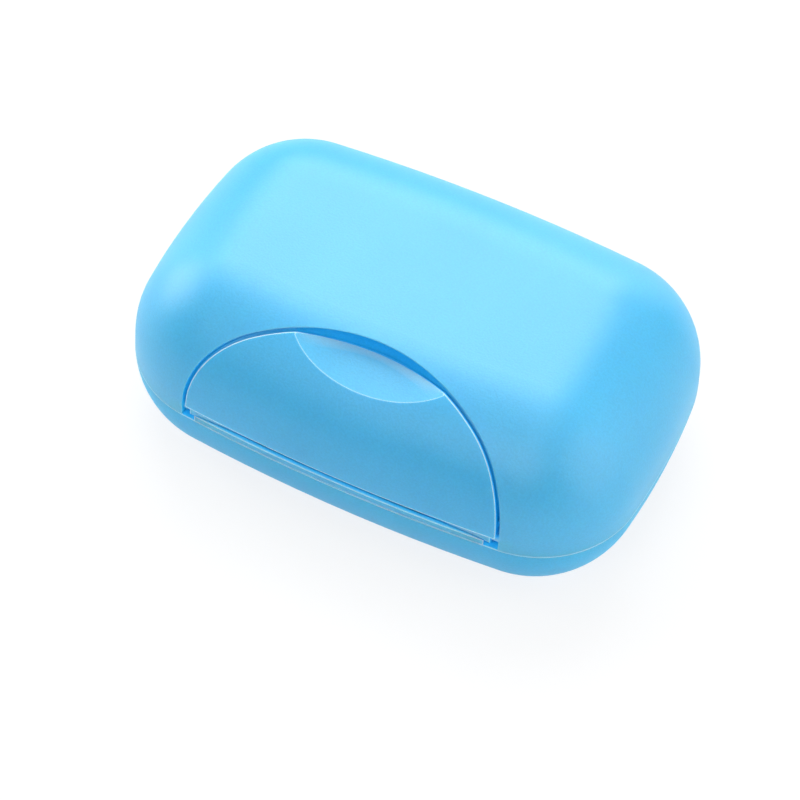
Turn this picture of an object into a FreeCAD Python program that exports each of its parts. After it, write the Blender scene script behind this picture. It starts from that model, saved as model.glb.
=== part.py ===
import FreeCAD, Part
import math
import os

os.makedirs("parts", exist_ok=True)

V = FreeCAD.Vector

# The latch pocket's walls run along SLANT, and its arch rises along UPWARD
SLANT = V(0, -1, 1) / math.sqrt(2)
UPWARD = V(0, 1, 1) / math.sqrt(2)

# A travel soap box that lies on its flat base: +X along its length, -Y towards the latch, +Z up.
# The origin is the middle of the underside. Lengths are in millimetres and angles in degrees.

quarter_turn = 90.0
half_turn = 180.0
full_turn = 360.0

# Outer form
length = 120.0
width = 80.0
height = 45.0
parting_share = 0.4
long_side_radius = 408.0
short_side_radius = 171.0
corner_share = 8 / 9
lid_draft = 3.0

# Walls and fits
base_wall = 1.8
lid_wall = 1.6
seat_gap = 0.1
pin_clearance = 0.05
side_gap = 0.3
overrun = 6.0

# Spigot of the base, which carries the seal inside the lid
spigot_wall = 1.4
spigot_gap = 0.5
spigot_front_gap = 0.4
spigot_rise = 4.9
spigot_corner_round = 4.0
seal_depth = 0.8
seal_height = 1.2
seal_proud = 0.2
seal_below_top = 0.7
seal_slack = 0.05

# Latch flap and the pocket it lies in
pocket_width_share = 0.3133
pocket_rise_share = 0.7
pocket_foot = 3.0
pocket_turn = 55.0
flap_gap = 0.9
flap_wall = 1.4
flap_back_gap = 0.4
flap_foot_height = 3.3
flap_foot_thickness = 2.0
rib_thickness = 1.2
rib_rise = 12.0
rib_places = 4
rib_spread_share = 0.45

# Thumb scoop in the tip of the flap
scoop_start_back = 8.4
scoop_start_drop = 5.05
scoop_slope = 0.12
scoop_radius = 65.0
scoop_width_share = 0.1433
scoop_wall = 1.5
tip_bow_share = 0.48

# Latch pivot and hook
pivot_from_front = 3.5
pivot_rise = 1.9
barrel_radius = 1.7
barrel_end_gap = 2.0
latch_pin_radius = 0.9
latch_pin_length = 3.4
neck_thickness = 2.4
tongue_width_share = 1 / 6
tongue_thickness = 1.4
tongue_offset = 0.4
tongue_length = 6.5
hook_height = 1.2
catch_overlap = 0.6
catch_gap = 0.2
catch_height = 3.2

# Rear hinge
hinge_radius = 1.6
hinge_pin_radius = 0.8
hinge_pin_length = 3.6
hinge_notch_share = 0.3167
hinge_notch_depth = 3.5
hinge_notch_rise = 2.4
hinge_notch_drop = 2.6
hinge_station_share = 0.2
hinge_lug_half_length = 6.0
hinge_ear_length = 4.8
hinge_end_gap = 0.2

# Drain rack
rack_gap = 1.2
rack_thickness = 1.6
rack_height = 9.6
rack_leg_length = 8.0
rack_leg_thickness = 1.4
rack_leg_x_share = 0.2833
rack_leg_y_share = 0.28
slot_count = 9
slot_pitch_share = 0.075
slot_width = 4.4
slot_length_share = 0.525
soap_rib_height = 1.0
soap_rib_width = 1.0
grip_width = 22.0
grip_depth = 11.0

# Underside
foot_recess = 0.6
foot_border = 3.0

# Places worked out from the sizes above
half_length = length / 2
half_width = width / 2
parting_height = height * parting_share
lid_rise = height - parting_height
corner_radius = lid_rise * corner_share
pocket_half_width = length * pocket_width_share
pocket_rise = (half_width + lid_rise) / math.sqrt(2) * pocket_rise_share
rib_spread = length * rib_spread_share
scoop_half_width = length * scoop_width_share
barrel_half_length = pocket_half_width - barrel_end_gap
tongue_half_width = length * tongue_width_share
hinge_notch_half_width = length * hinge_notch_share
hinge_station_x = length * hinge_station_share
slot_pitch = length * slot_pitch_share
slot_length = width * slot_length_share
pocket_bow = long_side_radius - math.sqrt(long_side_radius ** 2 - pocket_half_width ** 2)
pivot_y = -half_width + pivot_from_front
pivot_z = parting_height + pivot_rise
pocket_wall_y = pivot_y + barrel_radius + flap_back_gap
lid_front_y = pocket_wall_y + lid_wall
spigot_inset = lid_wall + spigot_gap
spigot_front_y = lid_front_y + spigot_front_gap
spigot_top = parting_height + spigot_rise
hinge_y = half_width - hinge_radius
notch_y = half_width - hinge_notch_depth
space_rear_y = notch_y - spigot_wall
flap_foot_z = parting_height + flap_foot_height
catch_z = parting_height - catch_height
hook_top = catch_z - catch_gap
tongue_front = pivot_y - tongue_offset
tongue_tip = pivot_z - tongue_length
catch_edge_y = tongue_front - side_gap
hook_nose_y = catch_edge_y - catch_overlap
pocket_depth = flap_wall + flap_back_gap
rack_foot_z = base_wall


# The plan outline as eight arcs that run into one another: centre, radius, and the angles they span
def plan_arcs():
    side_y = half_width - long_side_radius
    end_x = half_length - short_side_radius
    corner = corner_centre(side_y, end_x)
    side_edge = math.degrees(math.atan2(corner.y - side_y, corner.x))
    end_edge = math.degrees(math.atan2(corner.y, corner.x - end_x))
    return [
        (V(end_x, 0, 0), short_side_radius, -end_edge, end_edge),
        (corner, corner_radius, end_edge, side_edge),
        (V(0, side_y, 0), long_side_radius, side_edge, half_turn - side_edge),
        (V(-corner.x, corner.y, 0), corner_radius, half_turn - side_edge, half_turn - end_edge),
        (V(-end_x, 0, 0), short_side_radius, half_turn - end_edge, half_turn + end_edge),
        (V(-corner.x, -corner.y, 0), corner_radius, half_turn + end_edge, half_turn + side_edge),
        (V(0, -side_y, 0), long_side_radius, half_turn + side_edge, full_turn - side_edge),
        (V(corner.x, -corner.y, 0), corner_radius, full_turn - side_edge, full_turn - end_edge),
    ]


# Where a corner arc touches both the long side's arc and the short side's arc
def corner_centre(side_y, end_x):
    to_side = long_side_radius - corner_radius
    to_end = short_side_radius - corner_radius
    apart = math.hypot(end_x, side_y)
    along = (to_side ** 2 - to_end ** 2 + apart ** 2) / (2 * apart)
    off = math.sqrt(to_side ** 2 - along ** 2)
    toward = V(end_x, -side_y, 0) / apart
    across = V(-toward.y, toward.x, 0)
    side_centre = V(0, side_y, 0)
    places = [side_centre + toward * along + across * off, side_centre + toward * along - across * off]
    return max(places, key=lambda place: place.x + place.y)


def ray(degrees):
    return V(math.cos(math.radians(degrees)), math.sin(math.radians(degrees)), 0)


# The plan outline at a distance inside the widest one
def outline(inset, z):
    edges = []
    for centre, radius, first, last in plan_arcs():
        if radius - inset < seal_slack:
            continue
        points = [centre + ray(turn) * (radius - inset) + V(0, 0, z) for turn in (first, (first + last) / 2, last)]
        edges.append(Part.Arc(*points).toShape())
    return Part.Wire(edges)


# Radii of two arcs that turn from upright to level over a reach and a rise, changing over at one slope
def two_radii(reach, rise, turn):
    sine = math.sin(math.radians(turn))
    cosine = math.cos(math.radians(turn))
    upper = (reach * sine - rise * (1 - cosine)) / (cosine + sine - 1)
    lower = (rise - upper * (1 - sine)) / sine
    return lower, upper


# The shoulder's radius, which turns the lid's drafted wall into its level top over one corner radius
def shoulder_radius():
    draft = math.radians(lid_draft)
    return (corner_radius - lid_rise * math.tan(draft)) / (math.cos(draft) - (1 - math.sin(draft)) * math.tan(draft))


# A point of the profile where its wall leans in by a slope, at a corner or a side of the plan outline
def profile_point(centre, radius, turn, bend, slope, lift):
    out = radius - corner_radius + bend * math.cos(math.radians(slope))
    return centre + ray(turn) * out + V(0, 0, lift + bend * math.sin(math.radians(slope)))


# Half a pillow on the plane z = 0: a drafted wall and one arc, carried round the plan outline.
# The arc's middle is on the axis of each corner, so the corners are parts of a ball.
def half_pillow(inset, full_bend, lift, draft):
    bend = full_bend - inset
    foot_inset = inset / math.cos(math.radians(draft))
    faces = [Part.Face(outline(foot_inset, 0)), Part.Face(outline(corner_radius, lift + bend))]
    for centre, radius, first, last in plan_arcs():
        turn = V(0, 0, 1)
        if radius == corner_radius:
            ball = Part.makeSphere(bend, centre + V(0, 0, lift), turn, draft, quarter_turn, last - first)
            ball.rotate(centre, turn, first)
            faces.append(max(ball.Faces, key=lambda face: face.Surface.TypeId == "Part::GeomSphere"))
        else:
            points = [profile_point(centre, radius, first, bend, slope, lift)
                      for slope in (draft, (draft + quarter_turn) / 2, quarter_turn)]
            faces.append(Part.Arc(*points).toShape().revolve(centre, turn, last - first))
        if draft:
            high = profile_point(centre, radius, first, bend, draft, lift)
            low = centre + ray(first) * (radius - foot_inset)
            faces.append(Part.makeLine(low, high).revolve(centre, turn, last - first))
    shell = Part.makeShell(faces)
    shell.sewShape()
    solid = Part.Solid(shell)
    if solid.Volume < 0:
        solid.reverse()
    return solid


# The lid's form above the parting plane, at any distance inside its outer face
def lid_form(inset):
    form = half_pillow(inset, shoulder_radius(), lid_rise - shoulder_radius(), lid_draft)
    form.translate(V(0, 0, parting_height))
    return form


# The base's form below the parting plane, at any distance inside its outer face
def base_form(inset):
    form = half_pillow(inset, corner_radius, 0, 0).mirror(V(0, 0, 0), V(0, 0, 1))
    form.translate(V(0, 0, parting_height))
    return form.common(box(-length, length, -width, width, inset, height))


# A straight block on an outline of the box
def plan_block(inset, low, high):
    return Part.Face(outline(inset, low)).extrude(V(0, 0, high - low))


# A box between two corners
def box(x0, x1, y0, y1, z0, z1):
    return Part.makeBox(x1 - x0, y1 - y0, z1 - z0, V(x0, y0, z0))


# A box that is the same on both sides of the middle plane
def middle_box(half_x, y0, y1, z0, z1):
    return box(-half_x, half_x, y0, y1, z0, z1)


# The spigot's outline as a block: flat in front, where the latch stands before it
def spigot_block(further_in, low, high):
    front = spigot_front_y + further_in
    block = plan_block(spigot_inset + further_in, low, high)
    block = block.common(middle_box(length, front, width, low - overrun, high + overrun))
    corners = [edge for edge in block.Edges if is_upright(edge) and is_at_y(edge, front)]
    return block.makeFillet(spigot_corner_round - further_in, corners)


def is_upright(edge):
    first = edge.Vertexes[0].Point
    last = edge.Vertexes[-1].Point
    return abs(first.z - last.z) > seal_slack and math.hypot(first.x - last.x, first.y - last.y) < seal_slack


def is_at_y(edge, y):
    return abs(edge.CenterOfMass.y - y) < seal_slack


# Where the arch's plane lies behind the front shoulder
def slant_start():
    return V(0, -half_width, parting_height) - SLANT * (half_width / 2)


# An arch of three arcs on straight feet, run through the front shoulder at 45 degrees
def arch(outward):
    side_bend, top_bend = two_radii(pocket_half_width, pocket_rise - pocket_foot, pocket_turn)
    side_bend_x = pocket_half_width - side_bend
    top_bend_up = pocket_rise - top_bend

    def place(x, up):
        return slant_start() + V(x, 0, 0) + UPWARD * up

    def on_side(direction, turn):
        reach = side_bend + outward
        x = side_bend_x + reach * math.cos(math.radians(turn))
        return place(direction * x, pocket_foot + reach * math.sin(math.radians(turn)))

    low = -parting_height / 2
    half_x = pocket_half_width + outward
    crown = place(0, top_bend_up + top_bend + outward)
    edges = [
        Part.makeLine(place(-half_x, low), place(half_x, low)),
        Part.makeLine(place(half_x, low), on_side(1, 0)),
        Part.Arc(on_side(1, 0), on_side(1, pocket_turn / 2), on_side(1, pocket_turn)).toShape(),
        Part.Arc(on_side(1, pocket_turn), crown, on_side(-1, pocket_turn)).toShape(),
        Part.Arc(on_side(-1, pocket_turn), on_side(-1, pocket_turn / 2), on_side(-1, 0)).toShape(),
        Part.makeLine(on_side(-1, 0), place(-half_x, low)),
    ]
    return Part.Face(Part.Wire(edges)).extrude(SLANT * half_width)


# What lies behind the front shoulder: the lid's profile at a distance inside it, straight along the length
# and set back by the bow of the long side, so that the flap is at least its wall's thickness at its ends
def behind_shoulder(inset):
    bend = shoulder_radius() - inset
    lift = height - shoulder_radius()
    draft = math.radians(lid_draft)
    front = pocket_bow - half_width
    points = [V(-length, front + corner_radius - bend * math.cos(slope), lift + bend * math.sin(slope))
              for slope in (draft, (draft + math.pi / 2) / 2, math.pi / 2)]
    low = V(-length, front + inset / math.cos(draft), parting_height)
    edges = [
        Part.makeLine(low, points[0]),
        Part.Arc(*points).toShape(),
        Part.makeLine(points[2], V(-length, width, points[2].z)),
        Part.makeLine(V(-length, width, points[2].z), V(-length, width, parting_height)),
        Part.makeLine(V(-length, width, parting_height), low),
    ]
    return Part.Face(Part.Wire(edges)).extrude(V(2 * length, 0, 0))


# The hollow of the thumb scoop, lowered by an extra depth: a wide trough that sinks towards the tip
def scoop(extra, half_span):
    radius = scoop_radius + extra
    edge_rise = radius - math.sqrt(radius ** 2 - half_span ** 2) - extra
    tilt = math.atan(scoop_slope)
    run = V(0, math.cos(tilt), math.sin(tilt))
    rise = V(0, -math.sin(tilt), math.cos(tilt))
    start = V(0, scoop_start_back - half_width, height - scoop_start_drop) - run * overrun
    side = V(half_span, 0, 0)
    top = rise * (scoop_half_width / 2)
    low = start - rise * extra
    right = start + side + rise * edge_rise
    left = start - side + rise * edge_rise
    edges = [
        Part.Arc(right, low, left).toShape(),
        Part.makeLine(left, start - side + top),
        Part.makeLine(start - side + top, start + side + top),
        Part.makeLine(start + side + top, right),
    ]
    return Part.Face(Part.Wire(edges)).extrude(run * (scoop_half_width * 2))


def x_cylinder(radius, x0, x1, y, z):
    return Part.makeCylinder(radius, x1 - x0, V(x0, y, z), V(1, 0, 0))


# The same solid on both sides of the middle plane
def both_sides(solid):
    return [solid, solid.mirror(V(0, 0, 0), V(1, 0, 0))]


# The space under the latch flap: a shallow pocket that follows the lid, deep and upright behind the pivot
def latch_space():
    kept = behind_shoulder(pocket_depth).common(middle_box(length, pocket_wall_y, width, 0, height))
    pocket = arch(0).cut(kept)
    hollow = scoop(scoop_wall + flap_back_gap, scoop_half_width + scoop_wall + flap_back_gap)
    return pocket.fuse(hollow.common(arch(0)))


# The lid's soap space, with the walls behind the latch pocket left standing in it
def lid_hollow():
    pocket_back = arch(lid_wall).cut(behind_shoulder(pocket_depth + lid_wall))
    scoop_depth = scoop_wall + flap_back_gap + lid_wall
    scoop_back = scoop(scoop_depth, scoop_half_width + scoop_depth).common(arch(lid_wall))
    hollow = lid_form(lid_wall).common(middle_box(length, lid_front_y, width, 0, height))
    return hollow.cut(pocket_back).cut(scoop_back)


# The two cells that thin the lid's front corners beside the pocket
def lid_front_cells():
    corner = lid_form(lid_wall).common(middle_box(length, -width, pocket_wall_y, 0, height))
    return corner.cut(arch(lid_wall))


# The gap across the back where the hinge knuckles turn
def hinge_notch():
    low = parting_height - hinge_notch_drop
    high = parting_height + hinge_notch_rise
    return middle_box(hinge_notch_half_width, notch_y, width, low, high)


def hinge_lug():
    x0 = hinge_station_x - hinge_lug_half_length
    x1 = hinge_station_x + hinge_lug_half_length
    knuckle = x_cylinder(hinge_radius, x0, x1, hinge_y, parting_height)
    wall_foot = parting_height + hinge_notch_rise
    web = box(x0, x1, half_width - spigot_inset, half_width, parting_height, wall_foot)
    root = box(x0, x1, half_width - lid_wall, half_width, parting_height, wall_foot + lid_wall)
    web = web.fuse(root).common(lid_form(0))
    pin_reach = hinge_end_gap + hinge_pin_length
    pin = x_cylinder(hinge_pin_radius, x0 - pin_reach, x1 + pin_reach, hinge_y, parting_height)
    return knuckle.fuse([web, pin])


def make_lid():
    shell = lid_form(0)
    shell = shell.cut(lid_hollow())
    shell = shell.cut(lid_front_cells())
    shell = shell.cut(latch_space())
    shell = shell.cut(box(-length, length, -width, width, 0, parting_height + seat_gap))
    pin_tip = barrel_half_length + latch_pin_length + flap_gap
    shell = shell.cut(x_cylinder(latch_pin_radius + pin_clearance, -pin_tip, pin_tip, pivot_y, pivot_z))
    shell = shell.cut(hinge_notch())
    return shell.fuse(both_sides(hinge_lug()))


def hinge_ears():
    ears = []
    for direction in (-1, 1):
        inner = hinge_station_x + direction * (hinge_lug_half_length + hinge_end_gap)
        outer = inner + direction * hinge_ear_length
        x0 = min(inner, outer)
        x1 = max(inner, outer)
        knuckle = x_cylinder(hinge_radius, x0, x1, hinge_y, parting_height)
        low = parting_height - hinge_notch_drop
        web = box(x0, x1, hinge_y - hinge_radius, half_width, low, parting_height)
        ears += both_sides(knuckle.fuse(web.common(plan_block(0, 0, parting_height))))
    return ears


def hinge_bores():
    reach = hinge_lug_half_length + hinge_end_gap + hinge_ear_length + overrun
    bore = x_cylinder(hinge_pin_radius + pin_clearance, hinge_station_x - reach,
                      hinge_station_x + reach, hinge_y, parting_height)
    return both_sides(bore)


# The ledge inside the front wall that the latch hook catches under
def catch_lip():
    lip = middle_box(pocket_half_width + flap_gap, -half_width, catch_edge_y, catch_z, parting_height)
    return lip.common(plan_block(base_wall / 2, 0, parting_height))


# Room for the hook, sunk into the front wall below the catch
def hook_room():
    half_x = tongue_half_width + side_gap
    return middle_box(half_x, hook_nose_y - side_gap, spigot_front_y, tongue_tip - side_gap, catch_z)


def make_base():
    body = base_form(0)
    body = body.fuse(spigot_block(0, parting_height - spigot_rise, spigot_top))
    bowl = base_form(base_wall)
    bowl = bowl.fuse(plan_block(base_wall, parting_height, spigot_top + overrun))
    soap_space = bowl.common(spigot_block(spigot_wall, 0, spigot_top + overrun))
    soap_space = soap_space.common(middle_box(length, -width, space_rear_y, 0, height))
    front_cell = bowl.common(middle_box(pocket_half_width, -width, spigot_front_y, 0, height))
    groove = seal_band(seal_slack, 0, overrun)
    body = body.cut(soap_space).cut(front_cell).cut(hook_room()).cut(groove).cut(hinge_notch())
    body = body.fuse([catch_lip()] + hinge_ears())
    for bore in hinge_bores():
        body = body.cut(bore)
    recess = plan_block(corner_radius - math.sqrt(corner_radius ** 2 - parting_height ** 2) + foot_border,
                        -overrun, foot_recess)
    return body.cut(recess)


# A band round the spigot: the seal's own solid, or with slack the groove it lies in
def seal_band(slack, proud, outward):
    high = spigot_top - seal_below_top + slack
    low = spigot_top - seal_below_top - seal_height - slack
    outside = proud + outward
    outer = plan_block(spigot_inset - outside, low, high) if outward else spigot_block(-proud, low, high)
    return outer.cut(spigot_block(seal_depth, low - overrun, high + overrun))


def make_seal():
    return seal_band(0, seal_proud, 0)


# A round bar across the scoop that ends the flap in a flatter bow than the arch's, so that a gap for a
# fingertip opens before the pocket's wall
def tip_bar():
    arch_radius = two_radii(pocket_half_width, pocket_rise - pocket_foot, pocket_turn)[1] - flap_gap
    arch_bow = arch_radius - math.sqrt(arch_radius ** 2 - scoop_half_width ** 2)
    bow = arch_bow * tip_bow_share
    radius = (scoop_half_width ** 2 + bow ** 2) / (2 * bow)
    middle = slant_start() + UPWARD * (pocket_rise - flap_gap - arch_bow + bow - radius)
    return Part.makeCylinder(radius, half_width, middle, SLANT)


def flap_shell():
    shell = lid_form(0).cut(behind_shoulder(flap_wall))
    plate = scoop(scoop_wall, scoop_half_width + scoop_wall).common(lid_form(0))
    foot_top = flap_foot_z + flap_foot_thickness
    foot = middle_box(length, -width, pocket_wall_y - flap_back_gap - seat_gap, flap_foot_z, foot_top)
    shell = shell.fuse([plate, foot.common(lid_form(0))])
    shell = shell.common(arch(-flap_gap)).common(tip_bar())
    shell = shell.cut(scoop(0, scoop_half_width))
    return shell.cut(middle_box(length, -width, width, 0, flap_foot_z))


def flap_ribs():
    ribs = []
    inside = lid_form(flap_wall / 2).common(arch(-flap_gap - flap_wall / 2))
    for place in range(rib_places):
        x = -rib_spread / 2 + rib_spread * place / (rib_places - 1)
        back = pocket_wall_y - flap_back_gap - seat_gap
        rib = box(x - rib_thickness / 2, x + rib_thickness / 2, -half_width, back, flap_foot_z,
                  flap_foot_z + flap_foot_thickness + rib_rise)
        ribs.append(rib.common(inside))
    return ribs


# The tongue below the pivot, with the hook that reaches forward under the catch
def latch_tongue():
    back = tongue_front + tongue_thickness
    points = [
        V(0, tongue_front, pivot_z),
        V(0, tongue_front, hook_top),
        V(0, hook_nose_y, hook_top),
        V(0, hook_nose_y, hook_top - hook_height / 2),
        V(0, tongue_front, tongue_tip),
        V(0, back, tongue_tip),
        V(0, back, pivot_z),
    ]
    face = Part.Face(Part.makePolygon(points + points[:1]))
    face.translate(V(-tongue_half_width, 0, 0))
    return face.extrude(V(2 * tongue_half_width, 0, 0))


def make_latch():
    barrel = x_cylinder(barrel_radius, -barrel_half_length, barrel_half_length, pivot_y, pivot_z)
    pin_tip = barrel_half_length + latch_pin_length
    pin = x_cylinder(latch_pin_radius, -pin_tip, pin_tip, pivot_y, pivot_z)
    neck = middle_box(barrel_half_length, pivot_y - neck_thickness / 2, pivot_y + neck_thickness / 2,
                      pivot_z, flap_foot_z + seat_gap)
    return flap_shell().fuse(flap_ribs() + [barrel, pin, neck, latch_tongue()])


def rack_plate():
    low = rack_height - rack_thickness
    plate = spigot_block(spigot_wall + rack_gap, low, rack_height)
    return plate.common(middle_box(length, -width, space_rear_y - rack_gap, 0, height))


# A box across the rack at one place along it, centred on the soap space
def rack_bar(x, bar_width, bar_length, low, high):
    middle_y = (spigot_front_y + space_rear_y) / 2
    return box(x - bar_width / 2, x + bar_width / 2, middle_y - bar_length / 2, middle_y + bar_length / 2, low, high)


def rack_legs():
    legs = []
    for x in (-length * rack_leg_x_share, length * rack_leg_x_share):
        for y in (-width * rack_leg_y_share, width * rack_leg_y_share):
            leg = rack_bar(x, rack_leg_length, rack_leg_thickness, rack_foot_z, rack_height)
            leg.translate(V(0, y, 0))
            legs.append(leg)
    return legs


def make_rack():
    rack = rack_plate()
    low = rack_height - rack_thickness
    slots = []
    ribs = []
    for place in range(slot_count):
        x = (place - (slot_count - 1) / 2) * slot_pitch
        slots.append(rack_bar(x, slot_width, slot_length, low - overrun, rack_height + overrun))
        if place:
            between = x - slot_pitch / 2
            ribs.append(rack_bar(between, soap_rib_width, slot_length, rack_height, rack_height + soap_rib_height))
    rack = rack.fuse(ribs + rack_legs()).cut(Part.makeCompound(slots))
    # A notch at each end for a fingertip
    rack_end = half_length - spigot_inset - spigot_wall - rack_gap
    notch = rack_bar(rack_end, 2 * grip_depth, grip_width, 0, height)
    return rack.cut(Part.makeCompound(both_sides(notch)))


pieces = {
    "base": make_base,
    "seal_ring": make_seal,
    "drain_rack": make_rack,
    "lid": make_lid,
    "latch": make_latch,
}

for name, make in pieces.items():
    solid = make()
    solid.exportStep("parts/" + name + ".step")
    print(name, len(solid.Solids), "solid", round(solid.Volume), "mm3", solid.BoundBox)
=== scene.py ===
import math

import bpy
from mathutils import Matrix, Vector


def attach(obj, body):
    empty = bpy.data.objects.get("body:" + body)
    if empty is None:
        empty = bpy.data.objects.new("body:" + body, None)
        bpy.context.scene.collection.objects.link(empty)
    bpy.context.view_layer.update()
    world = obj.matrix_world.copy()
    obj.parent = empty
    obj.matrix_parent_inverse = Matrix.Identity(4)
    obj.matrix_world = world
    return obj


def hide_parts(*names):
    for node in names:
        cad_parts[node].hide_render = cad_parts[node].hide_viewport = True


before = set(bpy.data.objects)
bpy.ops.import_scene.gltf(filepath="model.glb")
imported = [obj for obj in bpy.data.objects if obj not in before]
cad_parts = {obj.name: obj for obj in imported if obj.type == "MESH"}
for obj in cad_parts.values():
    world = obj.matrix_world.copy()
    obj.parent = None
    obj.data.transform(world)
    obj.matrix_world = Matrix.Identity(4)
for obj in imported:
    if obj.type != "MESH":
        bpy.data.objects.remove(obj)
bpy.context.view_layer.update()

# A travel soap box of light blue polypropylene, lying shut on a white table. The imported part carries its
# shapes, apart from the narrow sill on the base's rim. This script gives them their materials, rounds off the
# seal, adds the sill and sets up the table, the light and the camera. Sizes are in metres where nothing else
# is said.

MM = 0.001

# Where the photograph was taken from
CAMERA_AIM = Vector((1.207, -10.493, 14.841)) * MM
CAMERA_AZIMUTH = math.radians(23.812)
CAMERA_ELEVATION = math.radians(52.792)
CAMERA_ROLL = math.radians(-3.412)
CAMERA_DISTANCE = 562.171 * MM
CAMERA_LENS_MM = 115.7
CAMERA_SENSOR_MM = 36.0

# The soft lights round the box, all at one distance: the direction that each stands in, the length of its
# side and its power in watts
SOFTBOX_DISTANCE = 1.2
SOFTBOXES = {
    "softbox_behind": ((-0.32, 0.62, 0.72), 1.0, 13),
    "softbox_back": ((0.15, 1.0, 0.35), 0.8, 3),
    "softbox_above": ((0.0, 0.0, 1.0), 0.8, 3),
    "softbox_left": ((-1.0, 0.1, 0.4), 0.8, 8.7),
    "softbox_right": ((1.0, 0.05, 0.45), 1.4, 11.5),
    "softbox_front": ((0.0, -0.7, 0.7), 0.8, 5),
}
ROOM_SEEN_STRENGTH = 0.25
ROOM_LIGHT_STRENGTH = 0.05
TABLE_HALF_SIZE = 3.0
PAPER_WHITE_SHARE = 0.8

# The moulded plastic. Its real grain is about a tenth of a millimetre and too fine to show here, so it is
# drawn coarser. The speckle is how far the grain darkens and lightens the colour, and the light's reach is
# how far light travels in the wall.
PLASTIC_IOR = 1.49
PATCH_SIZE = 25 * MM
GRAIN_SIZE = 0.45 * MM
GRAIN_DEPTH = 0.05 * MM
SPECKLE_DARK = 0.94
SPECKLE_LIGHT = 1.04
LIGHT_REACH = 3.0 * MM

# Nearly all of a noise's values lie between these two.
NOISE_LOW = 0.35
NOISE_HIGH = 0.65

# A face's corners are shaded as if rounded by this radius. How far the rounded direction agrees with the
# face's own tells where the painted highlight on an edge starts, and where it is full.
EDGE_RADIUS = 0.45 * MM
EDGE_START = 0.9985
EDGE_FULL = 0.975

# How open a place is, from 0 to 1, by what stands within reach of it: deep in a narrow gap, where the painted
# glow is strongest and no painted highlight is, on an open face beside it, where the glow has faded and
# painted highlights are full, and on a lip that is sheltered enough to take the full painted light that lifts
# its shade
SHELTER_REACH = 4 * MM
GAP_OPENNESS = 0.35
FACE_OPENNESS = 0.65
LIP_OPENNESS = 0.7
SHADE_SAMPLES = 8

# The plastic's colours: its face, its soft deeper patches, the painted highlight on its edges and lip, and the
# painted glow in its narrow gaps. carried_light is the share of the light that goes through the wall.
SKY_BLUE = {"colour": "42B1E0", "patch_colour": "3EAEDD", "painted_highlight_colour": "C6EDFC", "painted_gap_glow": "00709A",
            "carried_light": 0.7}
MILKY = {"colour": "CFDAE0", "patch_colour": "C8D4DB", "painted_highlight_colour": "DDE7EC", "painted_gap_glow": "383E42",
         "carried_light": 0.45}

# The silicone seal. Its real dust is too fine to show and is drawn coarser too. The seal's facets are joined
# before its edges are rounded.
SILICONE_IOR = 1.41
DUST_SIZE = 0.4 * MM
DUST_DEPTH = 0.02 * MM
SEAL_WELD_REACH = 0.01 * MM
SEAL_EDGE_RADIUS = 0.25 * MM
SEAL_EDGE_SEGMENTS = 3

# The base's front sill under the flap, in millimetres. It stands on the base's rim and follows the front's
# long arc, a little behind it. The swung flap's foot passes over it, and the pivot barrel lies behind it. The
# share is the most of its thickness that its rounded edge takes.
FRONT_ARC_RADIUS = 408.0
FRONT_ARC_CENTRE_Y = 368.0
SILL_HALF_LENGTH = 34.4
SILL_INSET = 0.2
SILL_END_INSET = 0.05
SILL_THICKNESS = 0.85
SILL_BACK_Y = -38.35
SILL_FOOT_Z = 17.95
SILL_TOP_Z = 19.65
SILL_EDGE_RADIUS = 0.1
SILL_EDGE_SHARE = 0.6
SILL_STEPS = 48
SILL_EDGE_STEPS = 4
SILL_CREASE_ANGLE = math.radians(40)


def linear(hex_colour):
    """An sRGB hex colour as the linear colour that the shaders take, by the sRGB standard's curve."""
    values = [int(hex_colour[place:place + 2], 16) / 255 for place in (0, 2, 4)]
    return tuple(v / 12.92 if v <= 0.04045 else ((v + 0.055) / 1.055) ** 2.4 for v in values) + (1.0,)


BLACK = linear("000000")
WHITE = linear("FFFFFF")


def new_material(name):
    """A node material with no nodes yet."""
    material = bpy.data.materials.new(name)
    material.use_nodes = True
    material.node_tree.nodes.clear()
    return material


def new_object(name, data):
    """A named object in the scene."""
    made = bpy.data.objects.new(name, data)
    bpy.context.scene.collection.objects.link(made)
    return made


def add(tree, kind, links=None, values=None, stops=(), **settings):
    """Adds a node: its attributes, the values of its inputs, the outputs that feed its other inputs, and a
    colour ramp's stops, each a position and a colour."""
    node = tree.nodes.new("ShaderNode" + kind)
    for name, setting in settings.items():
        setattr(node, name, setting)
    for name, value in (values or {}).items():
        node.inputs[name].default_value = value
    for name, output in (links or {}).items():
        tree.links.new(output, node.inputs[name])
    for number, (position, colour) in enumerate(stops):
        ramp = node.color_ramp.elements
        stop = ramp[number] if number < len(ramp) else ramp.new(position)
        stop.position = position
        stop.color = colour
    return node


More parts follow.
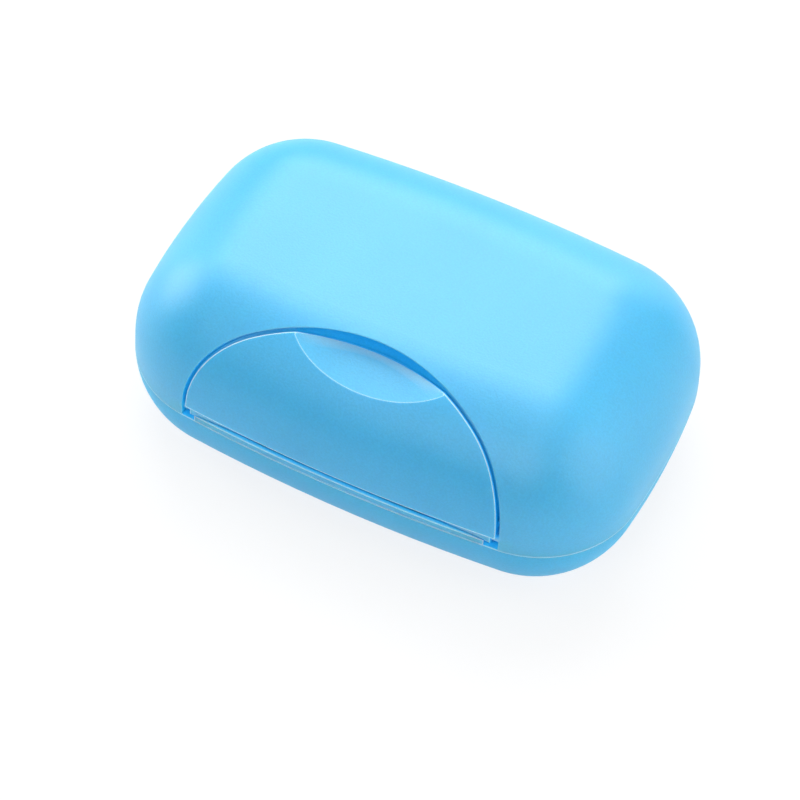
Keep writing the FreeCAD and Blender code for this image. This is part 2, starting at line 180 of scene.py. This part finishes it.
def moulded_polypropylene(name, colour, patch_colour, painted_highlight_colour, painted_gap_glow, carried_light, painted_highlight_share,
                          painted_lip_light_share, roughness, mirroring):
    """Injection moulded polypropylene. The mould's spark-eroded face leaves a satin grain, and the flow of the
    melt leaves soft patches of a slightly deeper tone. A painted highlight makes the rounded edges pale, and
    painted light makes a lip that dips below its surroundings pale in the shade that falls on it. Light that
    the wall carries keeps the shade blue, and a painted glow fills the narrow gaps with a deep clear tone."""
    material = new_material(name)
    tree = material.node_tree
    place = add(tree, "TexCoord").outputs["Object"]
    flow = add(tree, "TexNoise", {"Vector": place}, {"Scale": 1 / PATCH_SIZE, "Detail": 1.0})
    tones = add(tree, "ValToRGB", {"Fac": flow.outputs["Fac"]},
                stops=[(NOISE_LOW, linear(patch_colour)), (NOISE_HIGH, linear(colour))])
    grain = add(tree, "TexNoise", {"Vector": place},
                {"Scale": 1 / GRAIN_SIZE, "Detail": 2.0, "Roughness": 0.6})
    speckle = add(tree, "MapRange", {"Value": grain.outputs["Fac"]},
                  {"From Min": NOISE_LOW, "From Max": NOISE_HIGH,
                   "To Min": SPECKLE_DARK, "To Max": SPECKLE_LIGHT})
    grained = add(tree, "VectorMath", {0: tones.outputs["Color"], 1: speckle.outputs["Result"]},
                  operation="MULTIPLY")

    # Painted highlight: where the rounded direction turns away from the face's own, near an edge, the colour
    # is mixed towards the pale painted highlight colour, but only on open places.
    face = add(tree, "NewGeometry").outputs["Normal"]
    rounded = add(tree, "Bevel", values={"Radius": EDGE_RADIUS}, samples=SHADE_SAMPLES).outputs["Normal"]
    same = add(tree, "VectorMath", {0: rounded, 1: face}, operation="DOT_PRODUCT")
    bend = add(tree, "MapRange", {"Value": same.outputs["Value"]},
               {"From Min": EDGE_START, "From Max": EDGE_FULL})
    bent = add(tree, "Math", {0: bend.outputs["Result"]}, {1: painted_highlight_share}, operation="MULTIPLY")
    # Painted light: a place that something stands near is made paler the more it is sheltered, to lift the
    # shade that falls there. Deep in narrow gaps this and the painted highlight fade out.
    openness = add(tree, "AmbientOcclusion", values={"Distance": SHELTER_REACH},
                   samples=SHADE_SAMPLES).outputs["AO"]
    lip = add(tree, "MapRange", {"Value": openness},
              {"From Min": 1.0, "From Max": LIP_OPENNESS, "To Max": painted_lip_light_share})
    pale = add(tree, "Math", {0: bent.outputs["Value"], 1: lip.outputs["Result"]}, operation="MAXIMUM")
    outer = add(tree, "MapRange", {"Value": openness}, {"From Min": GAP_OPENNESS, "From Max": FACE_OPENNESS})
    share = add(tree, "Math", {0: pale.outputs["Value"], 1: outer.outputs["Result"]}, operation="MULTIPLY")
    shade = add(tree, "MixRGB", {"Fac": share.outputs["Value"], "Color1": grained.outputs["Vector"]},
                {"Color2": linear(painted_highlight_colour)})

    relief = add(tree, "Bump", {"Height": grain.outputs["Fac"], "Normal": rounded},
                 {"Strength": 0.8, "Distance": GRAIN_DEPTH})
    # Painted glow: deep in narrow gaps the plastic emits a deep blue, standing in for light carried through
    # the wall.
    glow = add(tree, "ValToRGB", {"Fac": openness},
               stops=[(0.0, BLACK), (GAP_OPENNESS, linear(painted_gap_glow)), (FACE_OPENNESS, BLACK)])
    skin = add(tree, "BsdfPrincipled",
               {"Base Color": shade.outputs["Color"], "Normal": relief.outputs["Normal"],
                "Emission Color": glow.outputs["Color"]},
               {"Roughness": roughness, "IOR": PLASTIC_IOR, "Specular IOR Level": mirroring,
                "Subsurface Weight": carried_light, "Subsurface Radius": (0.4, 0.9, 1.2),
                "Subsurface Scale": LIGHT_REACH, "Emission Strength": 1.0})
    add(tree, "OutputMaterial", {"Surface": skin.outputs["BSDF"]})
    return material


def moulded_silicone(name, colour):
    """Compression moulded silicone: milky and a little waxy, with the faint dust that such rubber picks up."""
    material = new_material(name)
    tree = material.node_tree
    place = add(tree, "TexCoord").outputs["Object"]
    dust = add(tree, "TexNoise", {"Vector": place}, {"Scale": 1 / DUST_SIZE, "Detail": 2.0})
    relief = add(tree, "Bump", {"Height": dust.outputs["Fac"]}, {"Strength": 0.1, "Distance": DUST_DEPTH})
    skin = add(tree, "BsdfPrincipled", {"Normal": relief.outputs["Normal"]},
               {"Base Color": linear(colour), "Roughness": 0.5, "IOR": SILICONE_IOR, "Subsurface Weight": 0.4,
                "Subsurface Radius": (1.0, 1.0, 1.0), "Subsurface Scale": 0.8 * MM})
    add(tree, "OutputMaterial", {"Surface": skin.outputs["BSDF"]})
    return material


def seen_ray(tree):
    """One for the camera's rays and for those that gloss or a clear wall sends on, and zero for the rest."""
    ray = add(tree, "LightPath")
    direct = add(tree, "Math", {0: ray.outputs["Is Camera Ray"], 1: ray.outputs["Is Glossy Ray"]},
                 operation="MAXIMUM")
    every = add(tree, "Math", {0: direct.outputs["Value"], 1: ray.outputs["Is Transmission Ray"]},
                operation="MAXIMUM")
    return every.outputs["Value"]


def matt_paper(name, colour):
    """White studio paper: quite matt. The camera sees it mostly plain white and partly lit, so that it keeps
    the box's shadow lightly."""
    material = new_material(name)
    tree = material.node_tree
    matt = add(tree, "BsdfDiffuse", values={"Color": linear(colour)})
    white = add(tree, "Emission", values={"Color": WHITE, "Strength": 1.0})
    share = add(tree, "Math", {0: seen_ray(tree)}, {1: PAPER_WHITE_SHARE}, operation="MULTIPLY")
    mixed = add(tree, "MixShader",
                {0: share.outputs["Value"], 1: matt.outputs["BSDF"], 2: white.outputs["Emission"]})
    add(tree, "OutputMaterial", {"Surface": mixed.outputs["Shader"]})
    return material


def dress(node, material):
    """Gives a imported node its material."""
    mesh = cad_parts[node].data
    mesh.materials.clear()
    mesh.materials.append(material)


def make_seal(material):
    """The silicone ring in the spigot's groove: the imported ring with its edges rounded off."""
    ring = new_object("seal_ring_silicone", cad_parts["seal_ring"].data.copy())
    ring.data.materials.clear()
    ring.data.materials.append(material)
    ring.modifiers.new("join_facets", "WELD").merge_threshold = SEAL_WELD_REACH
    rounding = ring.modifiers.new("round_edges", "BEVEL")
    rounding.width = SEAL_EDGE_RADIUS
    rounding.segments = SEAL_EDGE_SEGMENTS
    rounding.limit_method = "ANGLE"
    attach(ring, "base")
    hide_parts("seal_ring")


def sill_section(x):
    """The sill's outline across its length, from its front foot over the rounded edge to its back foot."""
    inset = SILL_INSET + (SILL_END_INSET - SILL_INSET) * abs(x) / SILL_HALF_LENGTH
    front = FRONT_ARC_CENTRE_Y - math.sqrt(FRONT_ARC_RADIUS ** 2 - x ** 2) + inset
    back = min(front + SILL_THICKNESS, SILL_BACK_Y)
    edge = min(SILL_EDGE_RADIUS, SILL_EDGE_SHARE * (back - front))
    points = [(front, SILL_FOOT_Z)]
    for step in range(SILL_EDGE_STEPS + 1):
        turn = math.radians(90 * step / SILL_EDGE_STEPS)
        points.append((front + edge * (1 - math.cos(turn)), SILL_TOP_Z - edge * (1 - math.sin(turn))))
    points += [(back, SILL_TOP_Z), (back, SILL_FOOT_Z)]
    return [Vector((x, y, z)) * MM for y, z in points]


def make_sill(material):
    """The narrow sill on the base's rim that shows under the flap."""
    corners = []
    for step in range(SILL_STEPS + 1):
        corners += sill_section(SILL_HALF_LENGTH * (2 * step / SILL_STEPS - 1))
    around = len(corners) // (SILL_STEPS + 1)
    faces = []
    for step in range(SILL_STEPS):
        for side in range(around):
            here, after = step * around + side, step * around + (side + 1) % around
            faces.append((here, here + around, after + around, after))
    faces.append(tuple(range(around)))
    faces.append(tuple(reversed(range(SILL_STEPS * around, (SILL_STEPS + 1) * around))))
    mesh = bpy.data.meshes.new("front_sill")
    mesh.from_pydata(corners, [], faces)
    mesh.shade_smooth()
    mesh.set_sharp_from_angle(angle=SILL_CREASE_ANGLE)
    mesh.materials.append(material)
    sill = new_object("front_sill", mesh)
    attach(sill, "base")


def make_table(material):
    """A white table top whose edges are out of view."""
    signs = ((-1, -1), (1, -1), (1, 1), (-1, 1))
    corners = [(x * TABLE_HALF_SIZE, y * TABLE_HALF_SIZE, 0) for x, y in signs]
    mesh = bpy.data.meshes.new("table_top")
    mesh.from_pydata(corners, [], [(0, 1, 2, 3)])
    mesh.materials.append(material)
    table = new_object("table_top", mesh)


def make_room():
    """A plain room round the table: grey where it is seen or mirrored, and a faint light for the rest."""
    room = bpy.data.worlds.new("grey_room")
    room.use_nodes = True
    tree = room.node_tree
    tree.nodes.clear()
    level = add(tree, "MapRange", {"Value": seen_ray(tree)},
                {"To Min": ROOM_LIGHT_STRENGTH, "To Max": ROOM_SEEN_STRENGTH})
    white = add(tree, "Background", {"Strength": level.outputs["Result"]}, {"Color": WHITE})
    add(tree, "OutputWorld", {"Surface": white.outputs["Background"]})
    bpy.context.scene.world = room


def add_softbox(name, toward, size, power):
    """A square soft light that faces the middle of the box."""
    lamp = bpy.data.lights.new(name, "AREA")
    lamp.shape = "SQUARE"
    lamp.size = size
    lamp.energy = power
    holder = new_object(name, lamp)
    toward = Vector(toward).normalized()
    holder.location = CAMERA_AIM + toward * SOFTBOX_DISTANCE
    holder.rotation_mode = "QUATERNION"
    holder.rotation_quaternion = toward.to_track_quat("Z", "Y")


def make_camera():
    """The camera at the photograph's place, turned round the line of sight by the photograph's roll."""
    lens = bpy.data.cameras.new("camera")
    lens.lens = CAMERA_LENS_MM
    lens.sensor_width = CAMERA_SENSOR_MM
    camera = new_object("camera", lens)
    level = math.cos(CAMERA_ELEVATION)
    back = Vector((math.sin(CAMERA_AZIMUTH) * level, -math.cos(CAMERA_AZIMUTH) * level,
                   math.sin(CAMERA_ELEVATION)))
    right = Vector((math.cos(CAMERA_AZIMUTH), math.sin(CAMERA_AZIMUTH), 0))
    up = back.cross(right)
    rolled_right = right * math.cos(CAMERA_ROLL) - up * math.sin(CAMERA_ROLL)
    rolled_up = right * math.sin(CAMERA_ROLL) + up * math.cos(CAMERA_ROLL)
    turn = Matrix((rolled_right, rolled_up, back)).transposed()
    camera.matrix_world = Matrix.Translation(CAMERA_AIM + back * CAMERA_DISTANCE) @ turn.to_4x4()
    bpy.context.scene.camera = camera


# The lid's edges lie in the flap's groove and get hardly any painted highlight. The base is less glossy,
# because it would otherwise mirror the white table. The lip of the flap's scoop is the one that gets painted
# light in its shade.
dress("lid", moulded_polypropylene("moulded_polypropylene_lid", **SKY_BLUE, painted_highlight_share=0.08, painted_lip_light_share=0.0,
                                   roughness=0.42, mirroring=0.75))
dress("base", moulded_polypropylene("moulded_polypropylene_base", **SKY_BLUE, painted_highlight_share=0.8, painted_lip_light_share=0.0,
                                    roughness=0.5, mirroring=0.35))
latch_plastic = moulded_polypropylene("moulded_polypropylene_latch", **SKY_BLUE, painted_highlight_share=0.8,
                                      painted_lip_light_share=0.5, roughness=0.42, mirroring=0.6)
dress("latch", latch_plastic)
dress("drain_rack", moulded_polypropylene("moulded_polypropylene_milky", **MILKY, painted_highlight_share=0.5,
                                          painted_lip_light_share=0.0, roughness=0.45, mirroring=0.5))
make_seal(moulded_silicone("moulded_silicone_milky", "D9E0E4"))
make_sill(latch_plastic)

make_table(matt_paper("matt_white_paper", "F4F4F4"))
make_room()
for name, (toward, size, power) in SOFTBOXES.items():
    add_softbox(name, toward, size, power)
make_camera()
bpy.context.scene.view_settings.view_transform = "Standard"
